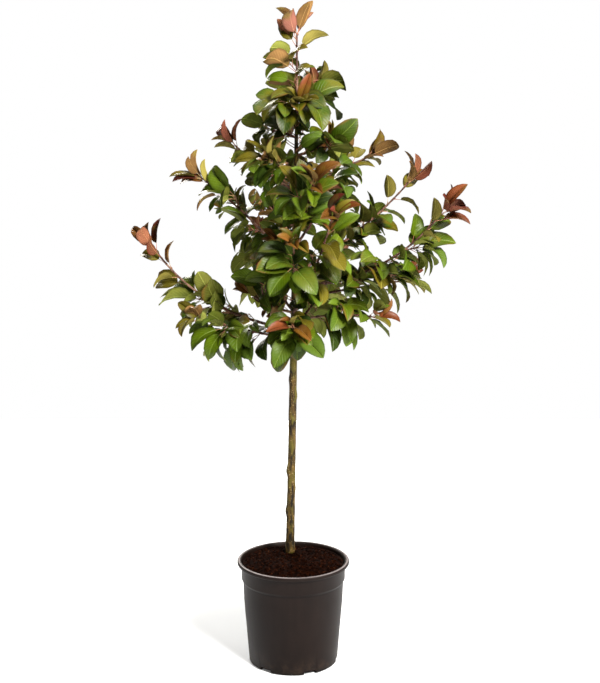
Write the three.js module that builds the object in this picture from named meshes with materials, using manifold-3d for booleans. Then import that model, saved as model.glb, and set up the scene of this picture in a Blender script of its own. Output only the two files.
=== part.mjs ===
// A young apple tree on a short clear stem, growing in a round nursery pot.
//
// Millimetres, +Z up, -Y is the front, and the origin is the centre of the pot's flat underside.
// The pot, its soil, the trunk, each bough and each mass of leaves is a mesh of its own.
// The trunk runs up through the crown. Long shoots leave it as bare boughs and carry on as leafy
// stems; short inner shoots leave it directly; the leader's leaves stand on its tip.

import * as THREE from "three";
import { mergeVertices } from "three/addons/utils/BufferGeometryUtils.js";
import Module from "manifold-3d";

const wasm = await Module();
wasm.setup();

// ---------------------------------------------------------------- driving dimensions

const GAP = 0.3; // clear space between neighbouring solids

const POT = {
  height: 245,
  rimRadius: 132.5,
  lipHeight: 8.5,
  lipWidth: 7.5,
  collarRadius: 123.5, // the widest band, under the lip
  collarFoot: 201,
  bandRadius: 118.5, // the second band, under the collar's step
  bandFoot: 158,
  baseRadius: 105.5,
  stepHeight: 6,
  wall: 2.5,
  floor: 4,
  facets: 32,
};

const NOTCH = { count: 6, first: 22, width: 30, height: 8.5, reach: 12 }; // drain notches round the foot

const SOIL = { edgeLevel: 237, moundLevel: 249, moundRadius: 64 };

const TRUNK = {
  offset: new THREE.Vector3(-8, 35, SOIL.moundLevel + GAP), // where it leaves the soil
  top: 1330,
  lean: new THREE.Vector3(22, -10, 0), // how far the top stands from the foot, before the bow
  bow: -5,
  footRadius: 10.8,
  crownRadius: 8.4, // at the lowest bough
  topRadius: 3.6,
  flare: 2.4, // what the root flare adds at the soil
  flareHeight: 14,
  facets: 9,
  rings: 10,
};

const TWIG = {
  step: 24,
  sides: 3,
  boughSides: 5,
  spurRadius: 1.8,
  spurEvery: 3, // every third leaf's place holds a spur instead
  swell: 1.1, // what a bough gains where it joins the trunk
  swellLength: 14,
  zigzag: 3,
};

const LEAF = {
  length: 100, // with its stalk
  width: 0.49, // of the length
  widest: 0.55, // of the length, from the twig
  keel: 0.08, // where it is thickest
  thickness: 2.2,
  sunk: 0.6, // past the twig's axis
  clearance: 1.6, // kept to other masses' space and to every limb
  tries: 8,
};

const LEADER = { length: 128, node: 18 }; // the tip that carries the trunk on

// How leaves and spurs stand. A pair is the least and the most of a number that is drawn, and
// angles are in degrees.
const STANCE = {
  nodeSpread: [0.8, 1.2], // of the space between leaves
  turnSpread: [-14, 14], // off the golden angle
  crowding: 0.45, // how much closer leaves stand at a young tip
  spurSlope: [45, 65], // away from the stem
  spurLift: 0.25, // towards the light
  spurSpread: [0.7, 1.2], // of a spur's length
  spurRetry: 70, // further round the stem at each new try
  oldSlope: [50, 78], // away from the twig
  youngSlope: [22, 48],
  oldDroop: [0.1, 0.9],
  youngDroop: [-0.5, 0.1],
  outward: 0.35, // how far an old leaf leans away from the trunk
  leafRetry: 53,
  faceSpread: [-0.5, 0.5],
  faceUp: 0.7,
  faceOut: 0.75,
  lengthSpread: [0.72, 1.16], // of a full leaf
  widthSpread: [0.86, 1.14],
  youngLength: 0.76, // of an old leaf's
  youngWidth: 0.86,
  oldFold: [6, 26],
  youngFold: [24, 42],
  rosetteStep: 3, // between the leaves at a twig's end
  tipSetback: 1.5, // from the twig's end to the first of them
};

// The long shoots. height is where the shoot leaves the trunk. heading is seen from above, 0 to the
// right and 90 to the back. rise and tipRise are its slopes at the trunk and at the tip. bare is the
// length of bough without leaves, and node is the space between leaves.
const SHOOTS = {
  left_low: { height: 790, heading: 190, rise: 10, tipRise: 60, length: 385, bare: 80, node: 26 },
  left_foot: { height: 765, heading: 210, rise: 15, tipRise: 15, length: 250, bare: 55, node: 22 },
  left_middle: { height: 935, heading: 175, rise: 50, tipRise: 35, length: 300, bare: 60, node: 23 },
  left_high: { height: 1110, heading: 165, rise: 25, tipRise: 50, length: 180, bare: 40, node: 20 },
  right_foot: { height: 810, heading: 330, rise: 15, tipRise: -5, length: 210, bare: 55, node: 20 },
  right_low: { height: 860, heading: 15, rise: 10, tipRise: 5, length: 270, bare: 60, node: 26 },
  right_middle: { height: 890, heading: 340, rise: 5, tipRise: 55, length: 400, bare: 70, node: 24 },
  right_high: { height: 920, heading: 5, rise: 30, tipRise: 50, length: 345, bare: 70, node: 24 },
  right_top: { height: 1100, heading: 20, rise: 30, tipRise: 20, length: 200, bare: 45, node: 20 },
  front_low: { height: 830, heading: 290, rise: 35, tipRise: 55, length: 330, bare: 55, node: 24 },
  front_high: { height: 1000, heading: 280, rise: 25, tipRise: 35, length: 260, bare: 50, node: 22 },
  front_middle: { height: 890, heading: 270, rise: 15, tipRise: 45, length: 230, bare: 45, node: 20 },
  front_foot: { height: 800, heading: 270, rise: 10, tipRise: 0, length: 150, bare: 40, node: 19 },
  back_left: { height: 830, heading: 110, rise: 15, tipRise: 60, length: 290, bare: 65, node: 28 },
  back_low: { height: 800, heading: 70, rise: 10, tipRise: 40, length: 310, bare: 65, node: 26 },
  back_right: { height: 985, heading: 60, rise: 30, tipRise: 60, length: 280, bare: 60, node: 26 },
  back_high: { height: 1050, heading: 105, rise: 30, tipRise: 50, length: 240, bare: 50, node: 23 },
};

// The short shoots that fill the middle of the crown, spaced up the trunk by the golden angle.
const INNER = {
  count: 13,
  lowest: 830,
  highest: 1310,
  firstHeading: 200,
  longest: 110,
  shortest: 65,
  rise: 12,
  tipRise: 40,
  node: 15,
  spurEvery: 2,
  spurShare: 0.6, // a spur's length, of its shoot's
  room: 6, // between a short shoot and any bough
  tries: 9,
  retryHeight: 4, // further up the trunk at each new try
  retryHeading: 40, // further round it
};

const GOLDEN_ANGLE = 137.5;
const MATERIALS = {
  pot: new THREE.MeshStandardMaterial({ color: 0x3a3230, roughness: 0.55, metalness: 0 }),
  soil: new THREE.MeshStandardMaterial({ color: 0x1e120d, roughness: 0.95, metalness: 0 }),
  bark: new THREE.MeshStandardMaterial({ color: 0x6b6140, roughness: 0.75, metalness: 0 }),
  shoot: new THREE.MeshStandardMaterial({ color: 0x5b3a34, roughness: 0.6, metalness: 0 }),
  leaf: new THREE.MeshStandardMaterial({ color: 0x45651d, roughness: 0.5, metalness: 0 }),
};

// ---------------------------------------------------------------- small helpers

const UP = new THREE.Vector3(0, 0, 1);
const RIGHT = new THREE.Vector3(1, 0, 0);
const degrees = THREE.MathUtils.degToRad;
const { lerp, clamp } = THREE.MathUtils;

// A Park-Miller generator. Its whole numbers stay below 2^47, so any language draws the same ones.
class Dice {
  constructor(...keys) {
    this.state = 1;
    for (const key of keys) {
      this.state = (this.state * 48271 + key * 8191 + 17) % 2147483647;
      this.roll();
    }
  }

  roll() {
    this.state = (this.state * 48271) % 2147483647;
    return this.state / 2147483647;
  }

  between(low, high) {
    return low + (high - low) * this.roll();
  }
}

const polar = (heading, rise) =>
  new THREE.Vector3(
    Math.cos(degrees(rise)) * Math.cos(degrees(heading)),
    Math.cos(degrees(rise)) * Math.sin(degrees(heading)),
    Math.sin(degrees(rise)),
  );

// The direction square to axis that lies at a turn round it.
function around(axis, turn) {
  const across = new THREE.Vector3().crossVectors(axis, Math.abs(axis.z) < 0.9 ? UP : RIGHT).normalize();
  const over = new THREE.Vector3().crossVectors(axis, across);
  return across.multiplyScalar(Math.cos(degrees(turn))).addScaledVector(over, Math.sin(degrees(turn)));
}

// The point and the direction at a distance along a line of points that are one length apart.
function along(points, step, distance) {
  const i = clamp(Math.floor(distance / step), 0, points.length - 2);
  const axis = points[i + 1].clone().sub(points[i]).normalize();
  return { point: points[i].clone().addScaledVector(axis, distance - i * step), axis };
}

function stretch(points, step, from, to) {
  const inner = points.filter((_, i) => i * step > from + 1 && i * step < to - 1);
  return [along(points, step, from).point, ...inner, along(points, step, to).point];
}

// ---------------------------------------------------------------- solids

function manifoldOf(positions, triangles) {
  return new wasm.Manifold(
    new wasm.Mesh({
      numProp: 3,
      vertProperties: new Float32Array(positions.flatMap((p) => [p.x, p.y, p.z])),
      triVerts: new Uint32Array(triangles.flat()),
    }),
  );
}

function manifoldOfGeometry(geometry) {
  geometry.deleteAttribute("normal");
  geometry.deleteAttribute("uv");
  const merged = mergeVertices(geometry, 1e-3);
  return new wasm.Manifold(
    new wasm.Mesh({
      numProp: 3,
      vertProperties: new Float32Array(merged.attributes.position.array),
      triVerts: new Uint32Array(merged.index.array),
    }),
  );
}

function meshOf(name, solid, material) {
  const { vertProperties, triVerts } = solid.getMesh();
  const geometry = new THREE.BufferGeometry();
  geometry.setAttribute("position", new THREE.BufferAttribute(vertProperties, 3));
  geometry.setIndex(new THREE.BufferAttribute(triVerts, 1));
  geometry.computeVertexNormals();
  const mesh = new THREE.Mesh(geometry, material);
  mesh.name = name;
  return mesh;
}

// A tapering limb with flat ends: a ring of corners at each point, square to the line.
function limbSolid(points, radii, sides) {
  const corners = [];
  const triangles = [];
  let across = null;
  points.forEach((point, i) => {
    const ahead = points[Math.min(i + 1, points.length - 1)];
    const behind = points[Math.max(i - 1, 0)];
    const axis = ahead.clone().sub(behind).normalize();
    across = across ? across.projectOnPlane(axis).normalize() : around(axis, 0);
    const over = new THREE.Vector3().crossVectors(axis, across);
    for (let k = 0; k < sides; k++) {
      const angle = (2 * Math.PI * k) / sides;
      corners.push(
        point
          .clone()
          .addScaledVector(across, radii[i] * Math.cos(angle))
          .addScaledVector(over, radii[i] * Math.sin(angle)),
      );
    }
    if (i === 0) return;
    for (let k = 0; k < sides; k++) {
      const [a, b] = [(i - 1) * sides + k, (i - 1) * sides + ((k + 1) % sides)];
      triangles.push([a, b, b + sides], [a, b + sides, a + sides]);
    }
  });
  const last = (points.length - 1) * sides;
  for (let k = 1; k < sides - 1; k++) {
    triangles.push([0, k + 1, k], [last, last + k, last + k + 1]);
  }
  return manifoldOf(corners, triangles);
}

// A leaf: its halves fold up along the midrib. A keel, deepest near the foot, backs the midrib. The
// foot is sunk in the twig.
function leafSolid({ direction, face, length, points }) {
  const { root, left, right, tip } = points;
  const foot = root.clone().addScaledVector(direction, -LEAF.sunk);
  const keel = root
    .clone()
    .addScaledVector(direction, length * LEAF.keel)
    .addScaledVector(face, -LEAF.thickness);
  const corners = [foot, left, right, tip, keel];
  const [F, L, R, T, K] = corners.keys();
  return manifoldOf(corners, [
    [F, T, L],
    [F, R, T],
    [F, L, K],
    [K, L, T],
    [K, T, R],
    [K, R, F],
  ]);
}

// ---------------------------------------------------------------- pot and soil

function potOutline() {
  const p = POT;
  const taper = (z) => lerp(p.baseRadius, p.bandRadius - 1.2, z / p.bandFoot);
  const outer = [
    [p.baseRadius - 2, 0],
    [p.baseRadius, 2],
    [taper(p.bandFoot - 2), p.bandFoot - 2],
    [p.bandRadius, p.bandFoot + 1],
    [p.bandRadius + 0.6, p.collarFoot - p.stepHeight],
    [p.collarRadius - 0.8, p.collarFoot],
    [p.collarRadius, p.height - p.lipHeight - 2],
    [p.rimRadius - 1.5, p.height - p.lipHeight],
    [p.rimRadius, p.height - p.lipHeight + 2],
    [p.rimRadius, p.height - 2],
    [p.rimRadius - 2, p.height],
    [p.rimRadius - p.lipWidth, p.height],
  ];
  const inner = [
    [p.collarRadius - p.wall, p.height - p.lipHeight],
    [p.collarRadius - p.wall - 0.8, p.collarFoot],
    [p.bandRadius - p.wall, p.collarFoot - p.stepHeight],
    [taper(p.bandFoot) - p.wall, p.bandFoot],
    [p.baseRadius - p.wall, p.floor],
  ];
  return { outer, inner };
}

function potSolid() {
  const { outer, inner } = potOutline();
  const profile = [[0, 0], ...outer, ...inner, [0, POT.floor]].map(([r, z]) => new THREE.Vector2(r, z));
  let pot = manifoldOfGeometry(new THREE.LatheGeometry(profile, POT.facets).rotateX(Math.PI / 2));
  const reach = NOTCH.reach + 10;
  for (let i = 0; i < NOTCH.count; i++) {
    const notch = new THREE.BoxGeometry(NOTCH.width, reach, NOTCH.height * 2)
      .translate(0, -(POT.baseRadius - NOTCH.reach + reach / 2), 0)
      .rotateZ(degrees(NOTCH.first + (i * 360) / NOTCH.count));
    pot = pot.subtract(manifoldOfGeometry(notch));
  }
  return pot;
}

function soilSolid() {
  const clear = POT.wall + 2 * GAP;
  const edge = POT.collarRadius - clear - 0.4;
  const profile = [
    [0, POT.floor + GAP],
    [POT.baseRadius - clear, POT.floor + GAP],
    [POT.bandRadius - clear, POT.collarFoot - POT.stepHeight],
    [edge, SOIL.edgeLevel],
    [lerp(edge, SOIL.moundRadius, 0.5), lerp(SOIL.edgeLevel, SOIL.moundLevel, 0.38)],
    [SOIL.moundRadius, SOIL.moundLevel],
    [0, SOIL.moundLevel],
  ].map(([r, z]) => new THREE.Vector2(r, z));
  return manifoldOfGeometry(new THREE.LatheGeometry(profile, POT.facets).rotateX(Math.PI / 2));
}

// ---------------------------------------------------------------- trunk and limbs

function trunkAxis(z) {
  const t = (z - TRUNK.offset.z) / (TRUNK.top - TRUNK.offset.z);
  return TRUNK.offset
    .clone()
    .addScaledVector(TRUNK.lean, t)
    .addScaledVector(RIGHT, TRUNK.bow * t * t)
    .setZ(z);
}

function trunkRadius(z) {
  const crownFoot = SHOOTS.left_foot.height;
  const above = z - TRUNK.offset.z;
  const stem =
    z < crownFoot
      ? lerp(TRUNK.footRadius, TRUNK.crownRadius, above / (crownFoot - TRUNK.offset.z))
      : lerp(TRUNK.crownRadius, TRUNK.topRadius, (z - crownFoot) / (TRUNK.top - crownFoot));
  return stem + TRUNK.flare * Math.exp(-above / TRUNK.flareHeight);
}

function trunkSolid(extra = 0) {
  const heights = [0, TRUNK.flareHeight * 0.6, TRUNK.flareHeight * 1.8].map((z) => TRUNK.offset.z + z);
  for (let i = 1; i <= TRUNK.rings; i++) {
    heights.push(lerp(heights[2], TRUNK.top, i / TRUNK.rings));
  }
  return limbSolid(heights.map(trunkAxis), heights.map((z) => trunkRadius(z) + extra), TRUNK.facets);
}

// The points of a shoot, a step apart, from the trunk's axis to its tip.
function shootLine(shoot) {
  const count = Math.ceil(shoot.length / TWIG.step);
  const points = [trunkAxis(shoot.height)];
  for (let i = 0; i < count; i++) {
    const t = (i + 0.5) / count;
    const zigzag = i % 2 ? TWIG.zigzag : -TWIG.zigzag;
    const direction = polar(shoot.heading + zigzag, lerp(shoot.rise, shoot.tipRise, t ** 1.2));
    points.push(points[i].clone().addScaledVector(direction, TWIG.step));
  }
  return points;
}

// A shoot's radius at a distance from the trunk's axis. It swells where it joins the trunk.
const shootRadius = (shoot, distance) =>
  lerp(2.1 + shoot.length * 0.0045, TWIG.spurRadius, distance / shoot.length) +
  TWIG.swell * Math.exp(-distance / TWIG.swellLength);

function boughSolid(shoot, trunkClear) {
  const points = stretch(shoot.line, TWIG.step, 0, shoot.bare);
  const radii = points.map((_, i) => shootRadius(shoot, Math.min(i * TWIG.step, shoot.bare)));
  return limbSolid(points, radii, TWIG.boughSides).subtract(trunkClear);
}

// ---------------------------------------------------------------- the rule of growth

// A mass is a stem, the spurs that branch from it and the leaves on both.
function newMass(name, shoot, from) {
  const stem = {
    line: shoot.line,
    step: TWIG.step,
    from,
    to: shoot.length,
    radius: (s) => shootRadius(shoot, s),
  };
  return { name, shoot, twigs: [stem], leaves: [] };
}

const segments = []; // every length of wood in the crown, with the mass it belongs to

function claim(owner, line, step, from, to, radius) {
  const points = stretch(line, step, from, to);
  for (let i = 1; i < points.length; i++) {
    const thick = radius(Math.min(from + (i - 1) * step, to));
    segments.push({ owner, a: points[i - 1], b: points[i], radius: thick });
  }
}

const clearOf = (woods, points, room) =>
  points.every((p) => woods.every((wood) => distanceTo(wood, p) > wood.radius + room));

function distanceTo({ a, b }, p) {
  const ab = b.clone().sub(a);
  const t = clamp(p.clone().sub(a).dot(ab) / ab.lengthSq(), 0, 1);
  return a.clone().addScaledVector(ab, t).distanceTo(p);
}

// Whether every point lies in the mass's own space, which is what is nearer to its wood than to
// any other mass's, and stands clear of the trunk and the boughs.
function inOwnSpace(mass, points, clearance) {
  return points.every((p) => {
    let own = Infinity;
    let other = Infinity;
    for (const wood of segments) {
      const distance = distanceTo(wood, p);
      if (wood.owner === mass.name) own = Math.min(own, distance);
      else if (wood.owner) other = Math.min(other, distance);
      else if (distance < wood.radius + clearance) return false;
    }
    return own + clearance < other;
  });
}

// How young the wood is at a distance along a stem: 0 on old wood, 1 at the growing tip.
const youth = (mass, distance) =>
  clamp((distance / mass.shoot.length - mass.youngFrom) / (1 - mass.youngFrom), 0, 1);

const isSpurNode = (mass, node, distance) =>
  node % mass.shoot.spurEvery === mass.shoot.spurEvery - 1 && distance < mass.shoot.length * mass.spursTo;

// The nodes of a stem, from its foot to its tip: how far along, and at what turn round it.
function nodesOf(mass) {
  const stem = mass.twigs[0];
  const dice = new Dice(mass.shoot.seed, 1);
  const nodes = [];
  let turn = dice.between(0, 360);
  let distance = stem.from + mass.firstNode;
  while (distance < stem.to - 5) {
    nodes.push({ distance, turn });
    turn += GOLDEN_ANGLE + dice.between(...STANCE.turnSpread);
    const closer = 1 - STANCE.crowding * youth(mass, distance);
    distance += mass.shoot.node * dice.between(...STANCE.nodeSpread) * closer;
  }
  return nodes;
}

// Short spurs off the stem, lifted a little towards the light. One with no room is left out.
function addSpurs(mass) {
  const stem = mass.twigs[0];
  nodesOf(mass).forEach(({ distance, turn }, node) => {
    if (!isSpurNode(mass, node, distance)) return;
    const { point, axis } = along(stem.line, stem.step, distance);
    for (let attempt = 0; attempt < LEAF.tries; attempt++) {
      const dice = new Dice(mass.shoot.seed, 2, node, attempt);
      const slope = degrees(dice.between(...STANCE.spurSlope));
      const direction = axis
        .clone()
        .multiplyScalar(Math.cos(slope))
        .addScaledVector(around(axis, turn + attempt * STANCE.spurRetry), Math.sin(slope))
        .addScaledVector(UP, STANCE.spurLift)
        .normalize();
      const length = mass.spurLength * dice.between(...STANCE.spurSpread);
      const end = point.clone().addScaledVector(direction, length);
      if (!inOwnSpace(mass, [point.clone().lerp(end, 0.5), end], mass.spurClearance)) continue;
      const spur = { line: [point, end], step: length, from: 0, to: length, radius: () => TWIG.spurRadius };
      mass.twigs.push(spur);
      claim(mass.name, spur.line, length, 0, length, spur.radius);
      return;
    }
  });
}

// The named points of a leaf's outline.
function leafPoints({ root, direction, face, length, width, fold }) {
  const side = new THREE.Vector3().crossVectors(direction, face);
  const edge = (way) =>
    root
      .clone()
      .addScaledVector(direction, length * LEAF.widest)
      .addScaledVector(side, (way * Math.cos(fold) * width) / 2)
      .addScaledVector(face, (Math.sin(fold) * width) / 2);
  return { root, left: edge(-1), right: edge(1), tip: root.clone().addScaledVector(direction, length) };
}

function spaceSamples({ root, left, right, tip }) {
  const between = (a, b, t) => a.clone().lerp(b, t);
  return [
    left,
    right,
    tip,
    between(root, tip, 0.25),
    between(root, tip, 0.5),
    between(root, tip, 0.75),
    between(root, left, 0.5),
    between(root, right, 0.5),
    between(left, tip, 0.5),
    between(right, tip, 0.5),
  ];
}

// Whether a straight line meets a triangle.
function meets([from, to], [a, b, c]) {
  const reach = to.clone().sub(from);
  const ray = new THREE.Ray(from, reach.clone().normalize());
  const hit = ray.intersectTriangle(a, b, c, false, new THREE.Vector3());
  return hit !== null && hit.distanceTo(from) < reach.length();
}

// Whether two leaves pass through one another.
function cross(one, two) {
  const lines = ({ root, left, right, tip }) => [
    [root, left],
    [left, tip],
    [root, right],
    [right, tip],
    [root, tip],
  ];
  const halves = ({ root, left, right, tip }) => [
    [root, left, tip],
    [root, right, tip],
  ];
  const through = (a, b) => lines(a).some((line) => halves(b).some((half) => meets(line, half)));
  return through(one, two) || through(two, one);
}

function throughTwig({ root, left, right, tip }, { line, step, from, to }) {
  const points = stretch(line, step, from, to);
  const lengths = points.slice(1).map((point, i) => [points[i], point]);
  return lengths.some((wood) => meets(wood, [root, left, tip]) || meets(wood, [root, right, tip]));
}

// One leaf at a point of a twig. Young leaves are small, narrow, folded and upright; old ones lie
// out flat, face the light and droop. A leaf that finds no room after a few turns is left out.
function addLeaf(mass, twig, distance, turn, young, keys) {
  const { point, axis } = along(twig.line, twig.step, distance);
  const outward = point.clone().sub(trunkAxis(point.z)).setZ(0).normalize();
  for (let attempt = 0; attempt < LEAF.tries; attempt++) {
    const dice = new Dice(mass.shoot.seed, ...keys, attempt);
    const slope = degrees(lerp(dice.between(...STANCE.oldSlope), dice.between(...STANCE.youngSlope), young));
    const droop = lerp(dice.between(...STANCE.oldDroop), dice.between(...STANCE.youngDroop), young);
    const direction = axis
      .clone()
      .multiplyScalar(Math.cos(slope))
      .addScaledVector(around(axis, turn + attempt * STANCE.leafRetry), Math.sin(slope))
      .addScaledVector(outward, STANCE.outward * (1 - young))
      .addScaledVector(UP, -droop)
      .normalize();
    const face = new THREE.Vector3(dice.between(...STANCE.faceSpread), dice.between(...STANCE.faceSpread), 0)
      .addScaledVector(UP, STANCE.faceUp)
      .addScaledVector(outward, STANCE.faceOut)
      .projectOnPlane(direction)
      .normalize();
    const length = LEAF.length * dice.between(...STANCE.lengthSpread) * lerp(1, STANCE.youngLength, young);
    const slim = lerp(1, STANCE.youngWidth, young);
    const width = length * LEAF.width * dice.between(...STANCE.widthSpread) * slim;
    const fold = degrees(lerp(dice.between(...STANCE.oldFold), dice.between(...STANCE.youngFold), young));
    const points = leafPoints({ root: point, direction, face, length, width, fold });
    if (!inOwnSpace(mass, spaceSamples(points), LEAF.clearance)) continue;
    if (mass.leaves.some((other) => cross(points, other.points))) continue;
    if (mass.twigs.some((other) => other !== twig && throughTwig(points, other))) continue;
    mass.leaves.push({ direction, face, length, points });
    return;
  }
}

// A few leaves round the end of a twig.
function addRosette(mass, twig, count, young, key) {
  const turn = new Dice(mass.shoot.seed, 3, key).between(0, 360);
  for (let i = 0; i < count; i++) {
    const distance = twig.to - STANCE.tipSetback - i * STANCE.rosetteStep;
    addLeaf(mass, twig, distance, turn + i * GOLDEN_ANGLE, young, [4, key, i]);
  }
}

function addLeaves(mass) {
  const stem = mass.twigs[0];
  nodesOf(mass).forEach(({ distance, turn }, node) => {
    if (isSpurNode(mass, node, distance)) return;
    addLeaf(mass, stem, distance, turn, youth(mass, distance), [5, node]);
  });
  addRosette(mass, stem, mass.tipLeaves, youth(mass, stem.to), 0);
  mass.twigs.slice(1).forEach((spur, i) => addRosette(mass, spur, mass.spurLeaves, mass.spurYouth, i + 1));
}

function planMasses() {
  const masses = [];
  for (const [name, shoot] of Object.entries(SHOOTS)) {
    shoot.spurEvery = TWIG.spurEvery;
    shoot.seed = masses.length + 1;
    shoot.line = shootLine(shoot);
    claim(null, shoot.line, TWIG.step, 0, shoot.bare, (s) => shootRadius(shoot, s));
    masses.push({
      ...newMass(`${name}_leaves`, shoot, shoot.bare + GAP),
      firstNode: 9,
      youngFrom: 0.62,
      spursTo: 0.75,
      spurLength: 38,
      spurClearance: 10,
      spurLeaves: 4,
      spurYouth: 0.12,
      tipLeaves: 4,
    });
  }
  for (let i = 0; i < INNER.count; i++) {
    const t = i / (INNER.count - 1);
    const shoot = {
      ...INNER,
      length: lerp(INNER.longest, INNER.shortest, t),
      seed: masses.length + 1,
    };
    for (let attempt = 0; attempt < INNER.tries; attempt++) {
      shoot.height = lerp(INNER.lowest, INNER.highest, t) + attempt * INNER.retryHeight;
      shoot.heading = INNER.firstHeading + i * GOLDEN_ANGLE + attempt * INNER.retryHeading;
      shoot.line = shootLine(shoot);
      if (clearOf(segments, stretch(shoot.line, TWIG.step, 12, shoot.length), INNER.room)) break;
    }
    masses.push({
      ...newMass(`inner_leaves_${String(i + 1).padStart(2, "0")}`, shoot, 0),
      firstNode: trunkRadius(shoot.height) + 10,
      youngFrom: 2,
      spursTo: 0.9,
      spurLength: shoot.length * INNER.spurShare,
      spurClearance: 8,
      spurLeaves: 5,
      spurYouth: 0,
      tipLeaves: 4,
    });
  }
  const leader = {
    ...LEADER,
    height: TRUNK.top,
    heading: 0,
    rise: 90,
    tipRise: 90,
    spurEvery: 99,
    seed: masses.length + 1,
  };
  leader.line = shootLine(leader);
  masses.push({
    ...newMass("leader_leaves", leader, GAP),
    firstNode: 6,
    youngFrom: 0.35,
    spursTo: 0,
    tipLeaves: 5,
  });
  return masses;
}

function growCrown() {
  const masses = planMasses();
  const trunkStep = (TRUNK.top - TRUNK.offset.z) / TRUNK.rings;
  const foot = TRUNK.offset.z;
  const trunkLine = Array.from({ length: TRUNK.rings + 1 }, (_, i) => trunkAxis(foot + i * trunkStep));
  claim(null, trunkLine, trunkStep, 0, TRUNK.top - foot, (s) => trunkRadius(foot + s));
  for (const mass of masses) {
    const stem = mass.twigs[0];
    claim(mass.name, stem.line, stem.step, Math.max(stem.from, 14), stem.to, stem.radius);
  }
  masses.forEach(addSpurs);
  masses.forEach(addLeaves);
  return masses;
}

// The mass's twigs and leaves in one solid, cut clear of the trunk, with any loose scrap dropped.
function massSolid(mass, trunkClear) {
  const twigs = mass.twigs.map(({ line, step, from, to, radius }) => {
    const points = stretch(line, step, from, to);
    const radii = points.map((_, i) => radius(Math.min(from + i * step, to)));
    return limbSolid(points, radii, TWIG.sides);
  });
  const leaves = mass.leaves.map(leafSolid);
  const pieces = wasm.Manifold.union([...twigs, ...leaves]).subtract(trunkClear).simplify(0.04).decompose();
  return pieces.sort((a, b) => b.volume() - a.volume())[0];
}

// ---------------------------------------------------------------- assembly

const tree = new THREE.Group();
const masses = growCrown();
const trunkClear = trunkSolid(GAP);

tree.add(meshOf("pot", potSolid(), MATERIALS.pot));
tree.add(meshOf("soil", soilSolid(), MATERIALS.soil));
tree.add(meshOf("trunk", trunkSolid(), MATERIALS.bark));
for (const [name, shoot] of Object.entries(SHOOTS)) {
  tree.add(meshOf(`${name}_bough`, boughSolid(shoot, trunkClear), MATERIALS.shoot));
}
for (const mass of masses) {
  tree.add(meshOf(mass.name, massSolid(mass, trunkClear), MATERIALS.leaf));
}

export default tree;
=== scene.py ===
from functools import partialmethod
from math import ceil, cos, exp, hypot, inf, pi, radians, sin, sqrt

import bpy
import numpy as np
from mathutils import Euler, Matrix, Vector, noise


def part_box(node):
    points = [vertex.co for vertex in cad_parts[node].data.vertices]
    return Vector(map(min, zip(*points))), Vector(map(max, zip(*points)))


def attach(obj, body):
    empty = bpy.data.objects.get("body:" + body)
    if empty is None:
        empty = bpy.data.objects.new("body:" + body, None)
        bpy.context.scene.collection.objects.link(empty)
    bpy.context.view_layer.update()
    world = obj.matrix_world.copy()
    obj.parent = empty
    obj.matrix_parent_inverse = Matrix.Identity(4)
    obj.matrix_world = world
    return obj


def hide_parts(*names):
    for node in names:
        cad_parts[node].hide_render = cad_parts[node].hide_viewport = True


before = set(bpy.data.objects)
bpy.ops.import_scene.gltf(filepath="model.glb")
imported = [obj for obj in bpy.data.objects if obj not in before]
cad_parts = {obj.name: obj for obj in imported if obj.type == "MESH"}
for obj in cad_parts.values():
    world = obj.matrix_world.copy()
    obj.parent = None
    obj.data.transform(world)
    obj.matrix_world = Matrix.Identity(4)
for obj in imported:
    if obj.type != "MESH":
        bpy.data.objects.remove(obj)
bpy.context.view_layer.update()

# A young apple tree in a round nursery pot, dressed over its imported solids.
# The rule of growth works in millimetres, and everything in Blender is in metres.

mm = 0.001


# the camera, the floor and the lights

look = {
    "eye": (0.016, -2.57, 1.155),
    "pitchDown": 0.15,  # radians
    "lens": 59.46,
    "lampColor": (1.0, 0.96, 0.88),
    "skyLight": (0.1, 0.094, 0.08),
    "floorSize": 5.2,
    "floorDrop": 0.0004,
    "floorColors": ((0.82, 0.85, 0.91), (0.8, 0.83, 0.89)),
    "floorFade": (0.3, 2.2),  # metres from the pot over which the floor turns to the backdrop's white
}
# where each lamp stands, what it points at, its size in metres and its watts
lamps = {
    "keyLight": ((1.7, -2.3, 2.5), (0, 0, 0.95), 1.0, 315),
    "fillLight": ((-2.4, -1.6, 1.6), (0, 0, 0.8), 2.0, 5),
    "topLight": ((0.2, 0.5, 3.2), (0, 0, 1.0), 2.0, 36),
    "backLight": ((-0.9, 3.0, 2.4), (0, 0, 0.95), 1.4, 165),
}


def choose(*pieces):
    # selects these and nothing else, with the first one active
    bpy.ops.object.select_all(action="DESELECT")
    for piece in pieces:
        piece.select_set(True)
    if pieces:
        bpy.context.view_layer.objects.active = pieces[0]


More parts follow.
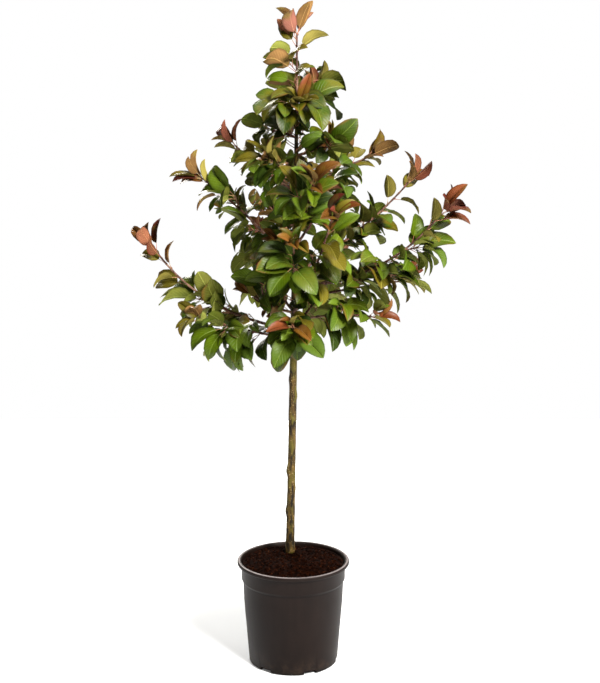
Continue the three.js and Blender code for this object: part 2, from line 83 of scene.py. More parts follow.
def makeStage():
    scene = bpy.context.scene
    choose()
    bpy.ops.object.camera_add(location=look["eye"], rotation=(pi / 2 - look["pitchDown"], 0, 0))
    scene.camera = bpy.context.active_object
    scene.camera.data.lens = look["lens"]

    bpy.ops.mesh.primitive_plane_add(size=look["floorSize"], location=(0, 0, -look["floorDrop"]))
    floor = bpy.context.active_object
    floor.name = "floor"
    finishFloor(floor)

    for name, (place, aim, size, watts) in lamps.items():
        bpy.ops.object.light_add(type="AREA", location=place)
        lamp = bpy.context.active_object
        lamp.name = name
        lamp.rotation_euler = (Vector(place) - Vector(aim)).to_track_quat("Z", "Y").to_euler()
        lamp.data.energy = watts
        lamp.data.size = size
        lamp.data.color = look["lampColor"]

    # the backdrop looks white, and lights the plant more softly than it looks
    world = bpy.data.worlds.new("studio")
    world.use_nodes = True
    nodes, links = world.node_tree.nodes, world.node_tree.links
    seen = nodes.new("ShaderNodeMixRGB")
    seen.inputs[1].default_value = (*look["skyLight"], 1)
    seen.inputs[2].default_value = (1, 1, 1, 1)
    links.new(nodes.new("ShaderNodeLightPath").outputs["Is Camera Ray"], seen.inputs[0])
    links.new(seen.outputs[0], nodes["Background"].inputs["Color"])
    scene.world = world
    scene.view_settings.view_transform = "Standard"


# materials: a socket's value can be written in sums, and one method adds any other node

class Value:
    def __init__(self, finish, socket):
        self.finish = finish
        self.socket = socket

    def maths(self, operation, *others):
        inputs = dict(enumerate((self, *others)))
        return self.finish.node("ShaderNodeMath", {"operation": operation}, inputs)

    __add__ = partialmethod(maths, "ADD")
    __sub__ = partialmethod(maths, "SUBTRACT")
    __mul__ = partialmethod(maths, "MULTIPLY")
    __pow__ = partialmethod(maths, "POWER")
    __abs__ = partialmethod(maths, "ABSOLUTE")
    fract = partialmethod(maths, "FRACT")

    def fade(self, start, end, low=0, high=1):
        # low where the value is start, high where it is end, and held beyond both
        inputs = {0: self, 1: start, 2: end, 3: low, 4: high}
        return self.finish.node("ShaderNodeMapRange", {"clamp": True}, inputs)


def paint(red, green, blue):
    # a colour as it looks on screen, made linear
    return tuple(((c / 255 + 0.055) / 1.055) ** 2.4 if c > 10 else c / 3295 for c in (red, green, blue))


class Finish:
    def __init__(self, name, **sockets):
        self.material = bpy.data.materials.new(name)
        self.material.use_nodes = True
        self.nodes = self.material.node_tree.nodes
        for socket, value in sockets.items():
            self.set(socket.replace("_", " "), value)
        self.place = self.node("ShaderNodeTexCoord", output="Object")

    def node(self, kind, settings=None, inputs=None, output=0):
        node = self.nodes.new(kind)
        for name, value in (settings or {}).items():
            setattr(node, name, value)
        for name, value in (inputs or {}).items():
            self.fill(node.inputs[name], value)
        return Value(self, node.outputs[output])

    def fill(self, socket, value):
        if isinstance(value, Value):
            self.material.node_tree.links.new(value.socket, socket)
        else:
            socket.default_value = (*value, 1) if socket.type == "RGBA" else value

    def set(self, name, value):
        self.fill(self.nodes["Principled BSDF"].inputs[name], value)

    def mapped(self, scale):
        # a scale is one number, or one for each axis
        scales = scale if isinstance(scale, tuple) else (scale,) * 3
        return self.node("ShaderNodeMapping", inputs={"Vector": self.place, "Scale": scales})

    def noise(self, scale, detail=2, roughness=0.5):
        inputs = {"Vector": self.mapped(scale), "Scale": 1, "Detail": detail, "Roughness": roughness}
        return self.node("ShaderNodeTexNoise", inputs=inputs)

    def spots(self, scale):
        # distance to the nearest of scattered points
        inputs = {"Vector": self.mapped(scale), "Scale": 1}
        return self.node("ShaderNodeTexVoronoi", inputs=inputs, output="Distance")

    def split(self, vector):
        first = self.node("ShaderNodeSeparateXYZ", inputs={0: vector})
        return [Value(self, socket) for socket in first.socket.node.outputs]

    def mix(self, factor, first, second):
        return self.node("ShaderNodeMix", {"data_type": "RGBA"}, {0: factor, 6: first, 7: second}, 2)

    def layers(self, color, *layers):
        # colours laid over one another, each as strongly as its factor
        for factor, over in layers:
            color = self.mix(factor, color, over)
        return color

    def bump(self, height, distance, strength):
        inputs = {"Height": height, "Distance": distance, "Strength": strength}
        self.set("Normal", self.node("ShaderNodeBump", inputs=inputs, output="Normal"))


def finishFloor(floor):
    finish = Finish("pale_floor", Roughness=0.9, Emission_Strength=1.0, Specular_IOR_Level=0.1)
    x, y, _ = finish.split(finish.place)
    glow = ((x * x + y * y) ** 0.5).fade(*look["floorFade"], 0.1, 1)
    finish.set("Base Color", finish.mix(finish.noise(3, 3), *look["floorColors"]))
    finish.set("Emission Color", finish.mix(glow, (0, 0, 0), (1, 1, 1)))
    floor.data.materials.append(finish.material)


# pieces: how they are begun, worked on and wrapped up

def settle(piece, slot, finishes, *nodes):
    for finish in finishes:
        piece.data.materials.append(finish.material)
    piece.data.name = piece.name
    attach(piece, "root")
    if nodes:
        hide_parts(*nodes)
    print(f"{piece.name}: {len(piece.data.polygons)} faces")


def joinedMesh(name, parts, scale=mm, degrees=0):
    # many small things as one mesh: each part is its corners and its faces
    corners = []
    faces = []
    start = 0
    for points, ownFaces in parts:
        corners.append(points)
        faces += [[start + v for v in face] for face in ownFaces]
        start += len(points)
    mesh = bpy.data.meshes.new(name)
    mesh.from_pydata((np.vstack(corners) * scale).tolist(), [], faces)
    piece = bpy.data.objects.new(name, mesh)
    bpy.context.scene.collection.objects.link(piece)
    if degrees:
        smooth(piece, degrees)
    return piece


def smooth(piece, degrees):
    choose(piece)
    bpy.ops.object.shade_smooth_by_angle(angle=radians(degrees))


def applied(piece, kind, **settings):
    # adds a modifier and applies it at once
    choose(piece)
    modifier = piece.modifiers.new(kind.lower(), kind)
    for name, value in settings.items():
        setattr(modifier, name, value)
    bpy.ops.object.modifier_apply(modifier=modifier.name)


def readVertices(mesh, key):
    values = np.zeros(len(mesh.vertices) * 3)
    mesh.vertices.foreach_get(key, values)
    return values.reshape(-1, 3)


def moveVertices(mesh, places):
    mesh.vertices.foreach_set("co", places.ravel())
    mesh.update()


def drawnUp(name, rings, sides):
    # a closed body pulled out of a disc, ring after ring: each ring is (x, y, z, radius)
    choose()
    x, y, z, radius = rings[0]
    bpy.ops.mesh.primitive_circle_add(vertices=sides, radius=radius, fill_type="NGON", location=(x, y, z))
    bpy.ops.object.mode_set(mode="EDIT")
    for ring in rings[1:]:
        step = (ring[0] - x, ring[1] - y, ring[2] - z)
        bpy.ops.mesh.extrude_region_move(TRANSFORM_OT_translate={"value": step})
        size = ring[3] / radius
        bpy.ops.transform.resize(value=(size, size, 1), center_override=ring[:3])
        x, y, z, radius = ring
    closeUp()
    bpy.ops.object.transform_apply(location=True, rotation=True, scale=True)
    piece = bpy.context.active_object
    piece.name = name
    return piece


def closeUp(mergeWithin=0):
    # merges corners that lie so near, turns every face outwards, and leaves edit mode
    bpy.ops.mesh.select_all(action="SELECT")
    if mergeWithin:
        bpy.ops.mesh.remove_doubles(threshold=mergeWithin)
    bpy.ops.mesh.normals_make_consistent(inside=False)
    bpy.ops.object.mode_set(mode="OBJECT")


# the rule of growth, in millimetres and degrees: the solids' own sizes, places and seeds

trunk = {
    "offset": (-8, 35, 249.3),  # where it leaves the soil
    "top": 1330, "topRadius": 3.6, "footRadius": 10.8, "rings": 10,
    "lean": (22, -10), "bow": -5,  # how far the top stands from the foot, and what its bow takes back
    "crownFoot": 765, "crownRadius": 8.4,  # at the lowest bough
    "flare": 2.4, "flareHeight": 14,
}
twig = {
    "step": 24, "zigzag": 3, "bend": 1.2,
    "radius": 2.1, "thickening": 0.0045,  # and more for each millimetre of length
    "swell": 1.1, "swellLength": 14,
    "gap": 0.3,  # between a bough and its mass
    "nodeSpread": (0.8, 1.2), "turnSpread": (-14, 14), "lastNode": 5,  # from the tip
    "crowding": 0.45,  # how much nearer the nodes stand at a tip
    "spurRadius": 1.8, "spurEvery": 3, "spurSlope": (45, 65), "spurLift": 0.25, "spurSpread": (0.7, 1.2),
    "spurTurn": 70,  # further round at each new try
}
# of a pair of ranges, the first is for old wood and the second for its growing tips
leafRule = {
    "length": 100, "lengthSpread": (0.72, 1.16), "youngLength": 0.76,  # with its stalk
    "width": 0.49, "widthSpread": (0.86, 1.14), "youngWidth": 0.86, "widest": 0.55,
    "slope": ((50, 78), (22, 48)), "droop": ((0.1, 0.9), (-0.5, 0.1)), "fold": ((6, 26), (24, 42)),
    "outward": 0.35, "faceSpread": (-0.5, 0.5), "faceUp": 0.7, "faceOut": 0.75,
    "clearance": 1.6, "tries": 8, "turn": 53,  # further round at each new try
    "rosetteFrom": 1.5, "rosetteStep": 3,  # from the tip
}
leader = {"length": 128, "node": 18, "heading": 0, "rise": 90, "tipRise": 90, "spurEvery": 99}
shootColumns = ("height", "heading", "rise", "tipRise", "length", "bare", "node")
shoots = {
    "left_low": (790, 190, 10, 60, 385, 80, 26),
    "left_foot": (765, 210, 15, 15, 250, 55, 22),
    "left_middle": (935, 175, 50, 35, 300, 60, 23),
    "left_high": (1110, 165, 25, 50, 180, 40, 20),
    "right_foot": (810, 330, 15, -5, 210, 55, 20),
    "right_low": (860, 15, 10, 5, 270, 60, 26),
    "right_middle": (890, 340, 5, 55, 400, 70, 24),
    "right_high": (920, 5, 30, 50, 345, 70, 24),
    "right_top": (1100, 20, 30, 20, 200, 45, 20),
    "front_low": (830, 290, 35, 55, 330, 55, 24),
    "front_high": (1000, 280, 25, 35, 260, 50, 22),
    "front_middle": (890, 270, 15, 45, 230, 45, 20),
    "front_foot": (800, 270, 10, 0, 150, 40, 19),
    "back_left": (830, 110, 15, 60, 290, 65, 28),
    "back_low": (800, 70, 10, 40, 310, 65, 26),
    "back_right": (985, 60, 30, 60, 280, 60, 26),
    "back_high": (1050, 105, 30, 50, 240, 50, 23),
}
inner = {
    "count": 13, "heights": (830, 1310), "lengths": (110, 65), "firstHeading": 200,
    "rise": 12, "tipRise": 40, "node": 15,
    "spurEvery": 2, "spurShare": 0.6,  # a spur's length, of its shoot's
    "clearFrom": 12, "ownFrom": 14,  # from the trunk's axis: where it needs room, and claims its space
    "room": 6, "tries": 9, "climb": 4, "turn": 40,  # each new try is higher and further round
}
# what grows on in the same space, finer than the solids: small axillary sprays along every stem
fine = {
    "radius": 0.9, "length": 19, "lengthSpread": (0.6, 1.4), "slope": (40, 65), "lift": 0.2,
    "ahead": 3, "aside": (120, 240),  # from its leaf, along the stem and round it
    "chance": 1.0, "youngest": 0.0,  # no sprays on wood younger than this
    "leaves": 4, "size": 0.74, "firstLeaf": 1,  # of a full leaf, and how far from the sprig's tip
    "turn": 61,  # further round from one spray to the next
    "spurPlaces": (0.76, 0.46),  # along a spur
    "trunkSpurs": 240, "trunkReach": (790, 1322), "trunkLength": 26, "trunkLift": 0.6, "trunkRoot": 0.8,
    "clearance": 1.0, "overhang": 0.015,  # metres past the box of the mass's own solid
}
# what dice are rolled for, so that no two things share a throw
rollsFor = {"nodes": 1, "spur": 2, "rosette": 3, "rosetteLeaf": 4, "leaf": 5, "spray": 6, "sprayLeaf": 7}
goldenAngle = 137.5
up = np.array((0.0, 0.0, 1.0))
right = np.array((1.0, 0.0, 0.0))


class Dice:
    # a Park-Miller generator, the same one that grew the solids
    def __init__(self, mass, purpose, *keys):
        self.state = 1
        for key in (mass["shoot"]["seed"], rollsFor[purpose], *keys):
            self.state = (self.state * 48271 + key * 8191 + 17) % 2147483647
            self.roll()

    def roll(self):
        self.state = self.state * 48271 % 2147483647
        return self.state / 2147483647

    def between(self, low, high):
        return low + (high - low) * self.roll()

    def aged(self, ranges, young):
        old, fresh = [self.between(*ends) for ends in ranges]
        return lerp(old, fresh, young)


def lerp(low, high, share):
    return (1 - share) * low + share * high


def clamp(value, low, high):
    return max(low, min(high, value))


def unit(vector):
    return vector / sqrt(vector @ vector)


def unitRows(vectors):
    return vectors / np.linalg.norm(vectors, axis=1, keepdims=True)


def cross(a, b):
    return np.array((a[1] * b[2] - a[2] * b[1], a[2] * b[0] - a[0] * b[2], a[0] * b[1] - a[1] * b[0]))


def polar(heading, rise):
    h, r = radians(heading), radians(rise)
    return np.array((cos(r) * cos(h), cos(r) * sin(h), sin(r)))


def around(axis, turn):
    # the direction square to axis that lies at a turn round it
    across = unit(cross(axis, up if abs(axis[2]) < 0.9 else right))
    angle = radians(turn)
    return across * cos(angle) + cross(axis, across) * sin(angle)


def leaning(axis, slope, turn):
    angle = radians(slope)
    return axis * cos(angle) + around(axis, turn) * sin(angle)


def newTwig(line, step, start, end, radius):
    return {"line": line, "step": step, "from": start, "to": end, "radius": radius}


def straightTwig(start, direction, length, radius):
    return newTwig([start, start + direction * length], length, 0, length, lambda s: radius)


def along(branch, distance):
    line, step = branch["line"], branch["step"]
    i = clamp(int(distance / step), 0, len(line) - 2)
    axis = unit(line[i + 1] - line[i])
    return line[i] + axis * (distance - i * step), axis


def stretch(branch):
    # the points of a twig from where it starts to where it ends
    start, end = branch["from"], branch["to"]
    inside = [p for i, p in enumerate(branch["line"]) if start + 1 < i * branch["step"] < end - 1]
    return [along(branch, start)[0], *inside, along(branch, end)[0]]


def trunkAxis(z):
    x, y, foot = trunk["offset"]
    t = (z - foot) / (trunk["top"] - foot)
    return np.array((x + trunk["lean"][0] * t + trunk["bow"] * t * t, y + trunk["lean"][1] * t, z))


def trunkRadius(z):
    foot = trunk["offset"][2]
    if z < trunk["crownFoot"]:
        share = (z - foot) / (trunk["crownFoot"] - foot)
        stem = lerp(trunk["footRadius"], trunk["crownRadius"], share)
    else:
        share = (z - trunk["crownFoot"]) / (trunk["top"] - trunk["crownFoot"])
        stem = lerp(trunk["crownRadius"], trunk["topRadius"], share)
    return stem + trunk["flare"] * exp(-(z - foot) / trunk["flareHeight"])


def shootLine(shoot):
    count = ceil(shoot["length"] / twig["step"])
    points = [trunkAxis(shoot["height"])]
    for i in range(count):
        zigzag = twig["zigzag"] if i % 2 else -twig["zigzag"]
        rise = lerp(shoot["rise"], shoot["tipRise"], ((i + 0.5) / count) ** twig["bend"])
        points.append(points[i] + polar(shoot["heading"] + zigzag, rise) * twig["step"])
    return points


def shootRadius(shoot, distance):
    # it tapers to its tip and swells where it joins the trunk
    foot = twig["radius"] + shoot["length"] * twig["thickening"]
    taper = lerp(foot, twig["spurRadius"], distance / shoot["length"])
    return taper + twig["swell"] * exp(-distance / twig["swellLength"])


def partOf(shoot, start, end):
    return newTwig(shoot["line"], twig["step"], start, end, lambda s: shootRadius(shoot, s))


class Woods:
    # every length of wood in the crown, with the mass it belongs to
    def __init__(self):
        self.rows = []
        self.owners = []

    def claim(self, owner, branch):
        points = stretch(branch)
        for i, ends in enumerate(zip(points, points[1:])):
            place = min(branch["from"] + i * branch["step"], branch["to"])
            self.rows.append((*ends[0], *ends[1], branch["radius"](place)))
            self.owners.append(owner)
        table = np.array(self.rows)
        self.start = table[:, 0:3]
        self.reach = table[:, 3:6] - table[:, 0:3]
        self.radius = table[:, 6]
        self.owned = np.array(self.owners)

    def distances(self, points):
        # from each point to each length of wood
        away = np.array(points)[:, None, :] - self.start
        t = np.clip((away * self.reach).sum(-1) / (self.reach**2).sum(-1), 0, 1)
        return np.linalg.norm(away - t[..., None] * self.reach, axis=-1)

    def inOwnSpace(self, mass, points, clearance):
        distance = self.distances(points)
        bare = self.owned == ""
        if (distance[:, bare] < self.radius[bare] + clearance).any():
            return False
        own = distance[:, self.owned == mass["name"]].min(axis=1, initial=inf)
        other = distance[:, (self.owned != mass["name"]) & ~bare].min(axis=1, initial=inf)
        return bool((own + clearance < other).all())


def newMass(name, shoot, start, **rule):
    stem = partOf(shoot, start, shoot["length"])
    return {"name": name, "shoot": shoot, "twigs": [stem], "leaves": [], "sprigs": [], **rule}


def youth(mass, distance):
    # how young the wood is: 0 on old wood, 1 at the growing tip
    return clamp((distance / mass["shoot"]["length"] - mass["youngFrom"]) / (1 - mass["youngFrom"]), 0, 1)


def isSpurNode(mass, node, distance):
    every = mass["shoot"]["spurEvery"]
    return node % every == every - 1 and distance < mass["shoot"]["length"] * mass["spursTo"]


def nodesOf(mass):
    stem = mass["twigs"][0]
    dice = Dice(mass, "nodes")
    turn = dice.between(0, 360)
    distance = stem["from"] + mass["firstNode"]
    nodes = []
    while distance < stem["to"] - twig["lastNode"]:
        nodes.append((distance, turn))
        turn += goldenAngle + dice.between(*twig["turnSpread"])
        crowded = 1 - twig["crowding"] * youth(mass, distance)
        distance += mass["shoot"]["node"] * dice.between(*twig["nodeSpread"]) * crowded
    return nodes


def addSpurs(mass, woods):
    stem = mass["twigs"][0]
    for node, (distance, turn) in enumerate(nodesOf(mass)):
        if not isSpurNode(mass, node, distance):
            continue
        point, axis = along(stem, distance)
        for attempt in range(leafRule["tries"]):
            dice = Dice(mass, "spur", node, attempt)
            direction = leaning(axis, dice.between(*twig["spurSlope"]), turn + attempt * twig["spurTurn"])
            direction = unit(direction + up * twig["spurLift"])
            length = mass["spurLength"] * dice.between(*twig["spurSpread"])
            spur = straightTwig(point, direction, length, twig["spurRadius"])
            end = spur["line"][1]
            if woods.inOwnSpace(mass, [(point + end) / 2, end], mass["spurClearance"]):
                mass["twigs"].append(spur)
                woods.claim(mass["name"], spur)
                break


def leafCorners(root, direction, face, length, width, fold):
    # its foot, left, right and tip
    side = cross(direction, face)
    middle = root + direction * (length * leafRule["widest"]) + face * (sin(fold) * width / 2)
    half = side * (cos(fold) * width / 2)
    return np.array((root, middle - half, middle + half, root + direction * length))


def spaceSamples(corners):
    root, left, far, tip = corners
    halfway = [lerp(a, b, 0.5) for a, b in ((root, left), (root, far), (left, tip), (far, tip))]
    return [left, far, tip, *halfway, *(lerp(root, tip, t) for t in (0.25, 0.5, 0.75))]


# a leaf's five lines and its two halves, by its corners
edgesOf = np.array(((0, 1), (1, 3), (0, 2), (2, 3), (0, 3)))
halvesOf = np.array(((0, 1, 3), (0, 2, 3)))


def pierces(lines, halves):
    # whether any straight line of the first lot passes through a triangle of the second
    start, reach = lines[:, None, 0], lines[:, None, 1] - lines[:, None, 0]
    corner = halves[None, :, 0]
    e1, e2 = halves[None, :, 1] - corner, halves[None, :, 2] - corner
    p = np.cross(reach, e2)
    det = (e1 * p).sum(-1)
    det = np.where(np.abs(det) < 1e-12, np.inf, det)
    s = start - corner
    u = (s * p).sum(-1) / det
    q = np.cross(s, e1)
    v = (reach * q).sum(-1) / det
    t = (e2 * q).sum(-1) / det
    return bool(((u >= 0) & (v >= 0) & (u + v <= 1) & (t >= 0) & (t < 1) & np.isfinite(det)).any())


def leafCrossed(corners, mass, ownTwig):
    lines, halves = corners[edgesOf], corners[halvesOf]
    if mass["leaves"]:
        others = np.array([leaf["corners"] for leaf in mass["leaves"]])
        otherLines, otherHalves = others[:, edgesOf].reshape(-1, 2, 3), others[:, halvesOf].reshape(-1, 3, 3)
        if pierces(lines, otherHalves) or pierces(otherLines, halves):
            return True
    for points in (stretch(other) for other in mass["twigs"] if other is not ownTwig):
        if pierces(np.array(list(zip(points, points[1:]))), halves):
            return True
    return False


def addLeaf(mass, woods, ownTwig, distance, turn, young, keys, finer=False):
    # a leaf that finds no room after a few turns is left out
    rule = leafRule
    size, clearance = (fine["size"], fine["clearance"]) if finer else (1, rule["clearance"])
    point, axis = along(ownTwig, distance)
    away = (point - trunkAxis(point[2])) * (1, 1, 0)
    outward = unit(away)
    for attempt in range(rule["tries"]):
        dice = Dice(mass, *keys, attempt)
        slope = dice.aged(rule["slope"], young)
        droop = dice.aged(rule["droop"], young)
        direction = leaning(axis, slope, turn + attempt * rule["turn"])
        direction = unit(direction + outward * (rule["outward"] * (1 - young)) - up * droop)
        face = np.array((dice.between(*rule["faceSpread"]), dice.between(*rule["faceSpread"]), 0))
        face = face + up * rule["faceUp"] + outward * rule["faceOut"]
        face = unit(face - direction * (face @ direction))
        length = rule["length"] * dice.between(*rule["lengthSpread"])
        length = length * lerp(1, rule["youngLength"], young) * size
        width = length * rule["width"] * dice.between(*rule["widthSpread"])
        width *= lerp(1, rule["youngWidth"], young)
        fold = radians(dice.aged(rule["fold"], young))
        corners = leafCorners(point, direction, face, length, width, fold)
        if not woods.inOwnSpace(mass, spaceSamples(corners), clearance):
            continue
        if finer and not ((corners * mm > mass["box"][0]) & (corners * mm < mass["box"][1])).all():
            continue
        if leafCrossed(corners, mass, ownTwig):
            continue
        mass["leaves"].append({
            "mass": mass["name"], "root": point, "direction": direction, "face": face, "length": length,
            "width": width, "fold": fold, "young": young, "corners": corners,
            "fromTrunk": sqrt(away @ away),
        })
        return


def addRosette(mass, woods, ownTwig, count, young, key):
    turn = Dice(mass, "rosette", key).between(0, 360)
    for i in range(count):
        place = ownTwig["to"] - leafRule["rosetteFrom"] - i * leafRule["rosetteStep"]
        addLeaf(mass, woods, ownTwig, place, turn + i * goldenAngle, young, ("rosetteLeaf", key, i))


def addLeaves(mass, woods):
    stem = mass["twigs"][0]
    for node, (distance, turn) in enumerate(nodesOf(mass)):
        if not isSpurNode(mass, node, distance):
            addLeaf(mass, woods, stem, distance, turn, youth(mass, distance), ("leaf", node))
    addRosette(mass, woods, stem, mass["tipLeaves"], youth(mass, stem["to"]), 0)
    for i, spur in enumerate(mass["twigs"][1:]):
        addRosette(mass, woods, spur, mass["spurLeaves"], mass["spurYouth"], i + 1)


def planMasses(woods):
    masses = []
    for name, row in shoots.items():
        shoot = dict(zip(shootColumns, row), spurEvery=twig["spurEvery"], seed=len(masses) + 1)
        shoot["line"] = shootLine(shoot)
        woods.claim("", partOf(shoot, 0, shoot["bare"]))
        masses.append(newMass(
            f"{name}_leaves", shoot, shoot["bare"] + twig["gap"], firstNode=9, youngFrom=0.62, spursTo=0.75,
            spurLength=38, spurClearance=10, spurLeaves=4, spurYouth=0.12, tipLeaves=4,
        ))
    for i in range(inner["count"]):
        t = i / (inner["count"] - 1)
        shoot = {**inner, "length": lerp(*inner["lengths"], t), "seed": len(masses) + 1}
        for attempt in range(inner["tries"]):
            shoot["height"] = lerp(*inner["heights"], t) + attempt * inner["climb"]
            shoot["heading"] = inner["firstHeading"] + i * goldenAngle + attempt * inner["turn"]
            shoot["line"] = shootLine(shoot)
            places = stretch(partOf(shoot, inner["clearFrom"], shoot["length"]))
            if (woods.distances(places) > woods.radius + inner["room"]).all():
                break
        masses.append(newMass(
            f"inner_leaves_{i + 1:02d}", shoot, 0, firstNode=trunkRadius(shoot["height"]) + 10, youngFrom=2,
            spursTo=0.9, spurLength=shoot["length"] * inner["spurShare"], spurClearance=8, spurLeaves=5,
            spurYouth=0, tipLeaves=4,
        ))
    shoot = {**leader, "height": trunk["top"], "seed": len(masses) + 1}
    shoot["line"] = shootLine(shoot)
    masses.append(newMass(
        "leader_leaves", shoot, twig["gap"], firstNode=6, youngFrom=0.35, spursTo=0, tipLeaves=5,
    ))
    return masses


def growSolids():
    woods = Woods()
    masses = planMasses(woods)
    foot = trunk["offset"][2]
    step = (trunk["top"] - foot) / trunk["rings"]
    line = [trunkAxis(foot + i * step) for i in range(trunk["rings"] + 1)]
    woods.claim("", newTwig(line, step, 0, trunk["top"] - foot, lambda s: trunkRadius(foot + s)))
    for mass in masses:
        stem = mass["twigs"][0]
        woods.claim(mass["name"], {**stem, "from": max(stem["from"], inner["ownFrom"])})
    for mass in masses:
        addSpurs(mass, woods)
    for mass in masses:
        addLeaves(mass, woods)
    return masses, woods


def growSprig(mass, woods, sprig, young, key):
    for i in range(fine["leaves"]):
        place = sprig["to"] - fine["firstLeaf"] - i * leafRule["rosetteStep"]
        turn = i * goldenAngle + key * fine["turn"]
        addLeaf(mass, woods, sprig, place, turn, young, ("sprayLeaf", key, i), finer=True)


def addSprig(mass, woods, sprig, young, key):
    # a sprig stays where there is room for it and for a leaf on it
    if woods.inOwnSpace(mass, sprig["line"][1:], fine["clearance"]):
        before = len(mass["leaves"])
        growSprig(mass, woods, sprig, young, key)
        if len(mass["leaves"]) > before:
            mass["sprigs"].append(sprig)


def growFiner(mass, woods):
    # it keeps to the reach of the mass's own solid
    low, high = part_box(mass["name"])
    mass["box"] = np.array(low) - fine["overhang"], np.array(high) + fine["overhang"]
    stem = mass["twigs"][0]
    for node, (distance, turn) in enumerate(nodesOf(mass)):
        dice = Dice(mass, "spray", node)
        if dice.roll() > fine["chance"] or youth(mass, distance) > fine["youngest"]:
            continue
        point, axis = along(stem, distance + fine["ahead"])
        direction = leaning(axis, dice.between(*fine["slope"]), turn + dice.between(*fine["aside"]))
        direction = unit(direction + up * fine["lift"])
        length = fine["length"] * dice.between(*fine["lengthSpread"])
        sprig = straightTwig(point, direction, length, fine["radius"])
        addSprig(mass, woods, sprig, youth(mass, distance), node)
    for i, spur in enumerate(mass["twigs"][1:]):
        for k, place in enumerate(fine["spurPlaces"]):
            growSprig(mass, woods, {**spur, "to": spur["to"] * place}, mass["spurYouth"], 100 + 2 * i + k)


def growTrunkSpurs(masses, woods):
    # dwarf spurs straight out of the trunk, each in the space of the mass that is nearest
    named = {mass["name"]: mass for mass in masses}
    for i in range(fine["trunkSpurs"]):
        height = lerp(*fine["trunkReach"], i / (fine["trunkSpurs"] - 1))
        out = polar(i * goldenAngle, 0)
        start = trunkAxis(height) + out * (trunkRadius(height) * fine["trunkRoot"])
        sprig = straightTwig(start, unit(out + up * fine["trunkLift"]), fine["trunkLength"], fine["radius"])
        reach = np.where(woods.owned == "", inf, woods.distances(sprig["line"][1:])[0])
        addSprig(named[woods.owned[reach.argmin()]], woods, sprig, 0, 300 + i)


# leaves: every kind is one joined mesh, and every leaf a closed blade of 48 faces

blade = {
    "stalk": 0.25,  # of the leaf's length
    "stations": (0.06, 0.18, 0.36, 0.56, 0.74, 0.88, 0.96),  # along the blade, foot and tip aside
    "widths": (0.52, 0.87, 1.0, 0.97, 0.8, 0.5, 0.2),
    "fullness": 1.06, "reach": 0.9,  # of the solid leaf's width, and of an old one's length
    "arch": (0.05, 0.17), "curl": (0.03, 0.2), "curlFrom": 0.55, "twist": 16,  # degrees
    "steep": 1.4, "flat": 0.4,  # the fold by the midrib and by the margin, of the solid leaf's
    "trough": 0.06, "waves": 9.5,  # radians more by the midrib, and along the blade
    "wave": 0.04, "rib": 0.9,  # the wave's height of its width, and the midrib's depth in millimetres
    "stalkRadius": 0.85,
    "stalkRings": ((0.0, 1.3), (0.08, 0.85), (0.17, 0.8), (0.28, 0.6)),  # along the leaf, and of that radius
}


def midline(batch, x):
    # points of each leaf's midrib at a share x of its length, with its stalk
    arch = batch["arch"] * 4 * x * (1 - x)
    curl = batch["curl"] * np.clip((x - blade["curlFrom"]) / (1 - blade["curlFrom"]), 0, 1) ** 2
    lift = (arch - curl) * batch["length"]
    ahead = batch["length"] * x
    return batch["root"] + batch["direction"] * ahead[:, None] + batch["face"] * lift[:, None]


def dealLeaves(masses):
    # each leaf's own bend, twist and tone
    rng = np.random.default_rng(71)
    leaves = [leaf for mass in masses for leaf in mass["leaves"]]
    for leaf in leaves:
        leaf["arch"] = rng.uniform(*blade["arch"]) * (1 - 0.5 * leaf["young"])
        leaf["curl"] = rng.uniform(*blade["curl"])
        leaf["twist"] = radians(rng.uniform(-blade["twist"], blade["twist"]))
        leaf["phase"] = rng.uniform(0, 2 * pi)
        leaf["tone"] = rng.uniform(0, 1)
        leaf["kind"] = leafKind(leaf, rng.uniform(-0.14, 0.14), rng.uniform(0, 1))
        leaf["length"] *= lerp(blade["reach"], 1, leaf["young"])
    return leaves


def batchOf(leaves):
    keys = ("root", "direction", "face", "length", "width", "fold", "arch", "curl", "twist", "phase", "tone")
    return {key: np.array([leaf[key] for leaf in leaves]) for key in keys}


def frameAt(batch, x):
    # the midrib's point, and the blade's own sideways and upward directions there
    forward = unitRows(midline(batch, x + 0.01) - midline(batch, x - 0.01))
    rise = unitRows(batch["face"] - forward * (batch["face"] * forward).sum(1, keepdims=True))
    side = np.cross(forward, rise)
    turn = (batch["twist"] * (x - blade["stalk"]))[:, None]
    sideways, upward = side * np.cos(turn) + rise * np.sin(turn), rise * np.cos(turn) - side * np.sin(turn)
    return midline(batch, x), sideways, upward


def bladeRow(batch, t, share):
    # six points across the blade: left rim, left, midrib, right, right rim, and the rib's underside
    here, side, rise = frameAt(batch, blade["stalk"] + (1 - blade["stalk"]) * t)
    half = batch["width"] / 2 * blade["fullness"] * share
    steep, flat = batch["fold"] * blade["steep"] + blade["trough"], batch["fold"] * blade["flat"]
    inside = half * 0.5 * np.cos(steep), half * 0.5 * np.sin(steep)
    rim = inside[0] + half * 0.5 * np.cos(flat), inside[1] + half * 0.5 * np.sin(flat)
    points = []
    for way, (across, height) in zip((-1, -1, 0, 1, 1), (rim, inside, (0 * half, 0 * half), inside, rim)):
        wave = np.sin(blade["waves"] * t + batch["phase"] + way) * (across / half) ** 2
        height = height + wave * blade["wave"] * batch["width"] * share
        points.append(here + side * (way * across)[:, None] + rise * height[:, None])
    points.append(here - rise * (blade["rib"] * (1.1 - t)))
    return points


def ringFaces(rings, sides):
    # a closed body's faces, side after side, over rings of corners between a first and a last one
    faces = []
    last = rings * sides
    for k in range(sides):
        a, b = 1 + k, 1 + (k + 1) % sides
        faces.append([0, b, a])
        faces += [[a + r, b + r, b + r + sides, a + r + sides] for r in range(0, last - sides, sides)]
        faces.append([a + last - sides, b + last - sides, last + 1])
    return faces


